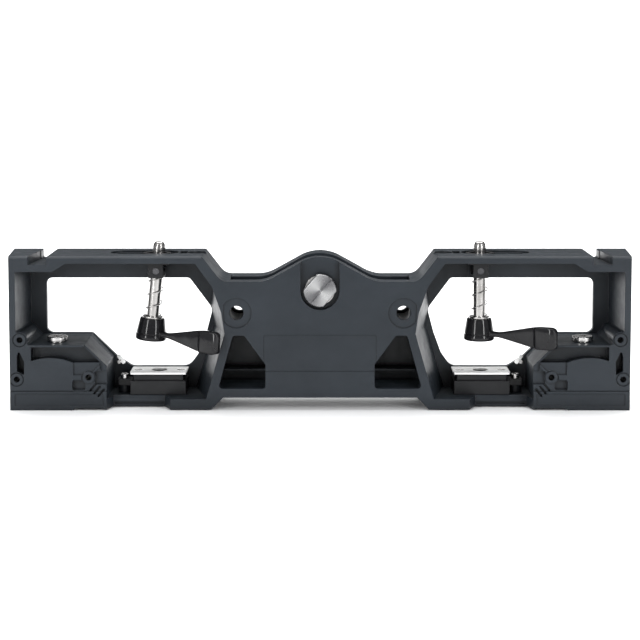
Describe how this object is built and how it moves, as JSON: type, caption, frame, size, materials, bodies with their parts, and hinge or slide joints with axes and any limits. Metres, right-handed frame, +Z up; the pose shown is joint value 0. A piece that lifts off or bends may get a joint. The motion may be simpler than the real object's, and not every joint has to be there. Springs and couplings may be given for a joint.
{
  "type": "lever clamping fixture",
  "caption": "Long moulded bridge fixture with swivelling spring-loaded clamping studs on black levers over steel rest plates, screw-levelled ends and a slotted centre lock.",
  "frame": {"origin": "middle of the footprint on the plane of the feet", "axes": "+X along the length towards the right end, +Y from the front rim to the back, +Z up"},
  "size_m": [0.4, 0.0524, 0.105],
  "materials": {
    "frame_plastic": "satin, fine moulded grain",
    "housing_plastic": "satin, fine moulded grain",
    "cover_plastic": "satin, fine moulded grain",
    "shoe_plastic": "smooth satin black",
    "rest_plastic": "smooth satin black",
    "lever_plastic": "glossy black",
    "turned_steel": "fine turned",
    "spring_steel": "drawn wire",
    "plate_steel": "ground",
    "lock_steel": "brushed",
    "screw_steel": "zinc plated",
    "strip_steel": "bright strip"
  },
  "bodies": {
    "frame": {"front_frame": "frame_plastic", "rear_housing": "housing_plastic", "rear_cover": "cover_plastic", "housing_screws": "screw_steel", "cover_screws": "screw_steel", "lock_washer": "turned_steel", "left_rest_sleeve": "rest_plastic", "left_rest_clamp_screw": "screw_steel", "left_height_bush": "turned_steel", "left_edge_clip": "strip_steel", "left_clip_rivet": "screw_steel", "right_rest_sleeve": "rest_plastic", "right_rest_clamp_screw": "screw_steel", "right_height_bush": "turned_steel", "right_edge_clip": "strip_steel", "right_clip_rivet": "screw_steel"},
    "centre_lock": {"centre_lock": "lock_steel", "lock_cam": "turned_steel", "lock_ring": "spring_steel"},
    "left_shoe": {"left_guide_shoe": "shoe_plastic", "left_slot_washer": "plate_steel"},
    "left_swivel": {"left_swivel_sleeve": "turned_steel", "left_stud_spring": "spring_steel"},
    "left_thrust": {"left_spring_washer": "turned_steel"},
    "left_stud": {"left_draw_stud": "turned_steel", "left_lever_screw": "screw_steel", "left_lever_spring": "spring_steel"},
    "left_lever": {"left_clamp_lever": "lever_plastic"},
    "left_rest": {"left_rest_slide": "rest_plastic", "left_rest_plate": "plate_steel", "left_plate_screws": "screw_steel"},
    "left_height_screw": {"left_height_screw": "screw_steel"},
    "left_foot": {"left_levelling_foot": "shoe_plastic"},
    "right_shoe": {"right_guide_shoe": "shoe_plastic", "right_slot_washer": "plate_steel"},
    "right_swivel": {"right_swivel_sleeve": "turned_steel", "right_stud_spring": "spring_steel"},
    "right_thrust": {"right_spring_washer": "turned_steel"},
    "right_stud": {"right_draw_stud": "turned_steel", "right_lever_screw": "screw_steel", "right_lever_spring": "spring_steel"},
    "right_lever": {"right_clamp_lever": "lever_plastic"},
    "right_rest": {"right_rest_slide": "rest_plastic", "right_rest_plate": "plate_steel", "right_plate_screws": "screw_steel"},
    "right_height_screw": {"right_height_screw": "screw_steel"},
    "right_foot": {"right_levelling_foot": "shoe_plastic"}
  },
  "joints": [
    {"name": "left_shoe_slide", "type": "slide", "parent": "frame", "child": "left_shoe", "axis": [1, 0, 0], "range_m": [-0.01, 0]},
    {"name": "left_swivel_rock", "type": "hinge", "parent": "left_shoe", "child": "left_swivel", "pos_m": [-0.1049, 0.00724, 0.0866], "axis": [0, 1, 0], "range_deg": [0, 3]},
    {"name": "left_stud_lift", "type": "slide", "parent": "left_swivel", "child": "left_thrust", "axis": [0.0993, 0, 0.9951], "range_m": [0, 0.01], "stiffness_N_per_m": 400, "springref_m": -0.004, "deforming": ["left_stud_spring"]},
    {"name": "left_stud_turn", "type": "hinge", "parent": "left_thrust", "child": "left_stud", "pos_m": [-0.1049, 0.00724, 0.0866], "axis": [0.0993, 0, 0.9951], "range_deg": [-90, 0]},
    {"name": "left_lever_index", "type": "slide", "parent": "left_stud", "child": "left_lever", "axis": [0.0993, 0, 0.9951], "range_m": [-0.0012, 0], "stiffness_N_per_m": 400, "springref_m": 0.002, "deforming": ["left_lever_spring"]},
    {"name": "left_rest_height", "type": "slide", "parent": "frame", "child": "left_rest", "axis": [0, 0, 1], "range_m": [0, 0.004]},
    {"name": "left_height_turn", "type": "hinge", "parent": "frame", "child": "left_height_screw", "pos_m": [-0.1679, -0.00326, 0.0416], "axis": [0, 0, 1], "range_deg": [0, 1080]},
    {"name": "left_foot_travel", "type": "slide", "parent": "frame", "child": "left_foot", "axis": [0, 0, 1], "range_m": [-0.00374, 0]},
    {"name": "right_shoe_slide", "type": "slide", "parent": "frame", "child": "right_shoe", "axis": [1, 0, 0], "range_m": [0, 0.0024]},
    {"name": "right_swivel_rock", "type": "hinge", "parent": "right_shoe", "child": "right_swivel", "pos_m": [0.1027, 0.00724, 0.0866], "axis": [0, 1, 0], "range_deg": [-3, 0]},
    {"name": "right_stud_lift", "type": "slide", "parent": "right_swivel", "child": "right_thrust", "axis": [0, 0, 1], "range_m": [0, 0.01], "stiffness_N_per_m": 400, "springref_m": -0.004, "deforming": ["right_stud_spring"]},
    {"name": "right_stud_turn", "type": "hinge", "parent": "right_thrust", "child": "right_stud", "pos_m": [0.1027, 0.00724, 0.0866], "axis": [0, 0, 1], "range_deg": [-90, 0]},
    {"name": "right_lever_index", "type": "slide", "parent": "right_stud", "child": "right_lever", "axis": [0, 0, 1], "range_m": [-0.0012, 0], "stiffness_N_per_m": 400, "springref_m": 0.002, "deforming": ["right_lever_spring"]},
    {"name": "right_rest_height", "type": "slide", "parent": "frame", "child": "right_rest", "axis": [0, 0, 1], "range_m": [0, 0.004]},
    {"name": "right_height_turn", "type": "hinge", "parent": "frame", "child": "right_height_screw", "pos_m": [0.1679, -0.00326, 0.0416], "axis": [0, 0, 1], "range_deg": [0, 1080]},
    {"name": "right_foot_travel", "type": "slide", "parent": "frame", "child": "right_foot", "axis": [0, 0, 1], "range_m": [-0.00374, 0]},
    {"name": "centre_lock_turn", "type": "hinge", "parent": "frame", "child": "centre_lock", "pos_m": [0, -0.01776, 0.0765], "axis": [0, 1, 0], "range_deg": [0, 90]}
  ],
  "couplings": [
    {"joint": "left_height_turn", "follows": "left_foot_travel", "rad_per_m": -5026.5},
    {"joint": "right_height_turn", "follows": "right_foot_travel", "rad_per_m": -5026.5}
  ]
}
